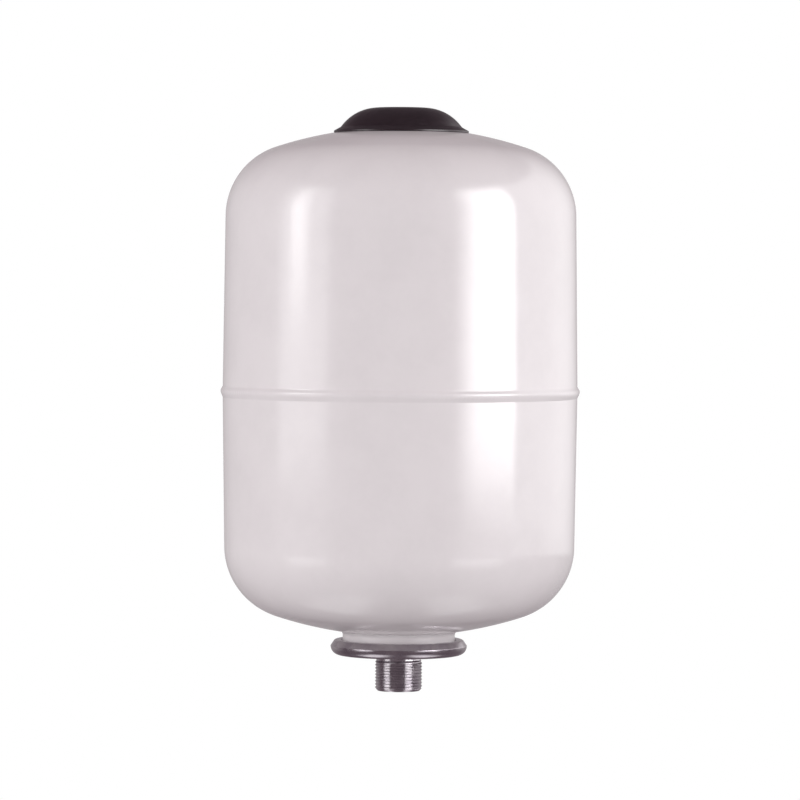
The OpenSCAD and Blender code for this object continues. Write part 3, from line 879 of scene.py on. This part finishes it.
class Shades(Nodes):
    """An emptied tree, for a light or a backdrop."""

    def __init__(self, tree):
        super().__init__(tree)
        tree.nodes.clear()

    def smooth(self, value, low, high, out_low, out_high):
        return self.ramp(value, low, high, out_low, out_high, kind="SMOOTHSTEP")

    def math(self, operation, first, second=0.0):
        return self.add("ShaderNodeMath", {0: first, 1: second}, operation=operation).outputs[0]

    def emission(self, colour, strength=1.0):
        return self.add("ShaderNodeEmission", {"Color": (*colour, 1), "Strength": strength}).outputs[0]

    def background(self, colour):
        """colour is an output, or three numbers."""
        colour = colour if isinstance(colour, bpy.types.NodeSocket) else (*colour, 1)
        return self.add("ShaderNodeBackground", {"Color": colour, "Strength": 1.0}).outputs[0]

    def blend(self, amount, first, second):
        return self.add("ShaderNodeMixShader", {0: amount, 1: first, 2: second}).outputs[0]


def stage_object(name, mesh):
    """Links an object that isn't part of the vessel, with an emptied material, and returns both."""
    obj = bpy.data.objects.new(name, mesh)
    material = bpy.data.materials.new(name)
    material.use_nodes = True
    mesh.materials.append(material)
    bpy.context.scene.collection.objects.link(obj)
    return obj, Shades(material.node_tree)


def fill(name, azimuth, distance, heights, width, radiance):
    """An upright soft light that only lights matt surfaces. Azimuth 0 is the camera's side and 90 the
    right."""
    low, high = heights
    data = bpy.data.lights.new(name, "AREA")
    data.shape = "RECTANGLE"
    data.size = width
    data.size_y = high - low
    data.energy = radiance * math.pi * width * (high - low)
    light = bpy.data.objects.new(name, data)
    a = math.radians(azimuth)
    light.location = (distance * math.sin(a), -distance * math.cos(a), (low + high) / 2)
    light.rotation_euler = (math.pi / 2, 0, a)
    light.visible_camera = False
    light.visible_glossy = False
    bpy.context.scene.collection.objects.link(light)


def glow(name, verts, faces, ramps, radiance):
    """A screen that only gloss and metal reflect, and that lets whatever is behind it through.

    ramps holds ("azimuth", "side", "depth" or "height", four values): where its glow starts, is full,
    starts to fade and is gone. side is the distance from the middle plane, depth runs away from the camera.
    """
    mesh = bpy.data.meshes.new(name)
    mesh.from_pydata(verts, [], faces)
    screen, n = stage_object(name, mesh)
    screen.visible_camera = False
    screen.visible_diffuse = False
    screen.visible_shadow = False
    place = n.add("ShaderNodeSeparateXYZ", {"Vector": n.add("ShaderNodeTexCoord").outputs["Object"]})
    side = n.math("ABSOLUTE", place.outputs["X"])
    turn = n.math("ARCTAN2", side, n.math("MULTIPLY", place.outputs["Y"], -1.0))
    values = {"azimuth": n.math("DEGREES", turn), "side": side, "depth": place.outputs["Y"],
              "height": place.outputs["Z"]}
    strength = radiance
    for value, (start, full, fade, gone) in ramps:
        strength = n.math("MULTIPLY", n.smooth(values[value], start, full, 0, 1), strength)
        strength = n.math("MULTIPLY", n.smooth(values[value], fade, gone, 1, 0), strength)
    through = n.add("ShaderNodeBsdfTransparent").outputs[0]
    both = n.add("ShaderNodeAddShader", {0: n.emission((1, 1, 1), strength), 1: through}).outputs[0]
    n.add("ShaderNodeOutputMaterial", {"Surface": both})


LEFT, RIGHT = -1, 1
SCREEN_STEPS = 24


def softbox(name, side, radius, azimuths, heights, radiance):
    """A curved upright screen round the axis. Azimuth 0 is the camera's side."""
    verts = []
    for i in range(SCREEN_STEPS + 1):
        a = math.radians(azimuths[0] + (azimuths[3] - azimuths[0]) * i / SCREEN_STEPS)
        for z in (heights[0], heights[3]):
            verts.append((side * radius * math.sin(a), -radius * math.cos(a), z))
    faces = [[2 * i, 2 * i + 2, 2 * i + 3, 2 * i + 1] for i in range(SCREEN_STEPS)]
    glow(name, verts, faces, [("azimuth", azimuths), ("height", heights)], radiance)


def table_card(name, side, height, sides, depths, radiance):
    """A card lying under the vessel, to one side."""
    near, far = depths[0], depths[3]
    verts = [(side * x, y, height) for x, y in
             ((sides[0], near), (sides[3], near), (sides[3], far), (sides[0], far))]
    glow(name, verts, [[0, 1, 2, 3]], [("side", sides), ("depth", depths)], radiance)


# name, side, radius, azimuths, heights, radiance: azimuths in degrees, radii and heights in metres.
# Screens that overlap have different radii, so that no two lie in one surface.
softbox("softbox_left_wide", LEFT, 1.0, (41, 50, 75, 86), (0.05, 0.075, 0.72, 1.16), 2.0)
softbox("softbox_left_core", LEFT, 0.98, (56, 65, 69, 76), (0.185, 0.30, 0.40, 1.12), 5.0)
softbox("softbox_right", RIGHT, 1.0, (31, 51, 73, 79.5), (0.02, 0.092, 0.75, 1.13), 8.5)
softbox("softbox_right_rear", RIGHT, 1.02, (70, 82, 112, 165), (-0.05, 0.05, 0.9, 1.10), 1.6)
softbox("softbox_low_left", LEFT, 0.96, (42, 51, 70, 80), (-0.32, -0.10, -0.05, 0.0), 1.6)
softbox("softbox_low_right", RIGHT, 0.96, (31, 37, 64, 74), (-0.32, -0.10, -0.05, 0.0), 1.7)
for side, word in ((LEFT, "left"), (RIGHT, "right")):
    table_card("table_card_" + word, side, -0.35, (0.05, 0.13, 0.2, 0.36), (-0.25, -0.16, 0.06, 0.18), 1.1)
fill("fill_front", azimuth=0, distance=1.6, heights=(-0.3, 0.7), width=1.0, radiance=1.62)
fill("fill_left", azimuth=-75, distance=1.4, heights=(-0.2, 0.6), width=0.8, radiance=2.7)
fill("fill_right", azimuth=75, distance=1.4, heights=(-0.1, 0.9), width=0.8, radiance=2.6)

AMBIENT_LEVEL, AMBIENT_ABOVE, AMBIENT_BELOW = (0.62, 0.60, 0.61), (0.56, 0.50, 0.51), (0.40, 0.36, 0.37)
MIRRORED, MIRRORED_BEHIND = (0.19, 0.15, 0.17), (0.42, 0.39, 0.40)
FLOOR_RADIUS, FLOOR_Z = 3.0, -0.5
FLOOR_MATT = 0.25             # share of the floor's white that takes shade


def make_world():
    """White to the camera, dim to reflections, and soft light that falls off above and below."""
    world = bpy.data.worlds.new("studio")
    world.use_nodes = True
    n = Shades(world.node_tree)
    path = n.add("ShaderNodeLightPath")
    way = n.add("ShaderNodeSeparateXYZ", {"Vector": n.add("ShaderNodeTexCoord").outputs["Generated"]})
    above = n.math("MAXIMUM", way.outputs["Z"], 0.0)
    below = n.math("MAXIMUM", n.math("MULTIPLY", way.outputs["Z"], -1.0), 0.0)
    soft = n.mix(below, n.mix(above, (*AMBIENT_LEVEL, 1), (*AMBIENT_ABOVE, 1)), (*AMBIENT_BELOW, 1))
    level_way = n.smooth(n.math("ABSOLUTE", way.outputs["Z"]), 0.1, 0.5, 1, 0)
    behind = n.math("MULTIPLY", n.smooth(way.outputs["Y"], 0.15, 0.75, 0, 1), level_way)
    mirrored = n.mix(behind, (*MIRRORED, 1), (*MIRRORED_BEHIND, 1))
    unseen = n.blend(path.outputs["Is Glossy Ray"], n.background(soft), n.background(mirrored))
    both = n.blend(path.outputs["Is Camera Ray"], unseen, n.background((1, 1, 1)))
    n.add("ShaderNodeOutputWorld", {"Surface": both})
    bpy.context.scene.world = world


def make_floor():
    """A pale floor well under the hanging vessel, clear from below."""
    mesh = bpy.data.meshes.new("floor")
    work = bmesh.new()
    bmesh.ops.create_circle(work, cap_ends=True, segments=96, radius=FLOOR_RADIUS)
    work.to_mesh(mesh)
    work.free()
    floor, n = stage_object("floor", mesh)
    floor.location.z = FLOOR_Z
    floor.visible_glossy = False
    floor.visible_diffuse = False
    back = n.add("ShaderNodeNewGeometry").outputs["Backfacing"]
    matt = n.add("ShaderNodeBsdfDiffuse", {"Color": (0.9, 0.9, 0.9, 1)}).outputs[0]
    pale = n.blend(FLOOR_MATT, n.emission((1, 1, 1)), matt)
    clear = n.add("ShaderNodeBsdfTransparent").outputs[0]
    n.add("ShaderNodeOutputMaterial", {"Surface": n.blend(back, pale, clear)})


make_world()
make_floor()
